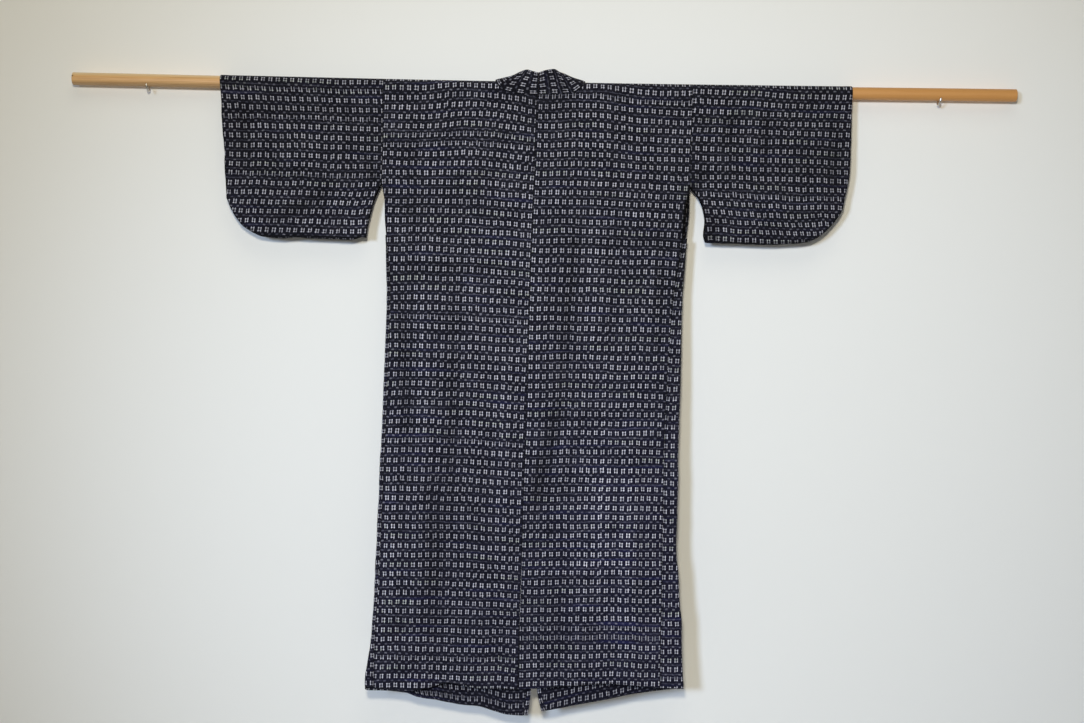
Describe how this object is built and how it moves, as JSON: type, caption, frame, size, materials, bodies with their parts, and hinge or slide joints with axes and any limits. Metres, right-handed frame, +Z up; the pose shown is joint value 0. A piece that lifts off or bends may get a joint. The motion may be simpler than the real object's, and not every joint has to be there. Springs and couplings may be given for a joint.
{
  "type": "haori hung on a round wooden pole with two wall hooks",
  "caption": "Long unlined haori coat of indigo kasuri cotton, hung flat by its sleeves on a round wooden pole that lies on small wall hooks.",
  "frame": {"origin": "on the wall's surface, straight behind the middle of the pole and level with the pole's axis at its hooks", "axes": "+X along the pole, to the right of someone who faces the coat's back; +Y into the wall; +Z up"},
  "size_m": [1.8122, 0.0437, 1.2443],
  "materials": {
    "indigo_cotton": "matte woven cotton, small pale ikat crosses on dark indigo",
    "pale_wood": "sanded, unvarnished",
    "plated_steel": "dull nickel plate"
  },
  "bodies": {
    "root": {"body_left": "indigo_cotton", "body_right": "indigo_cotton", "sleeve_left": "indigo_cotton", "sleeve_right": "indigo_cotton", "gore_left": "indigo_cotton", "gore_right": "indigo_cotton", "collar_left": "indigo_cotton", "collar_right": "indigo_cotton", "pole": "pale_wood", "hook_left": "plated_steel", "hook_right": "plated_steel"}
  },
  "joints": []
}
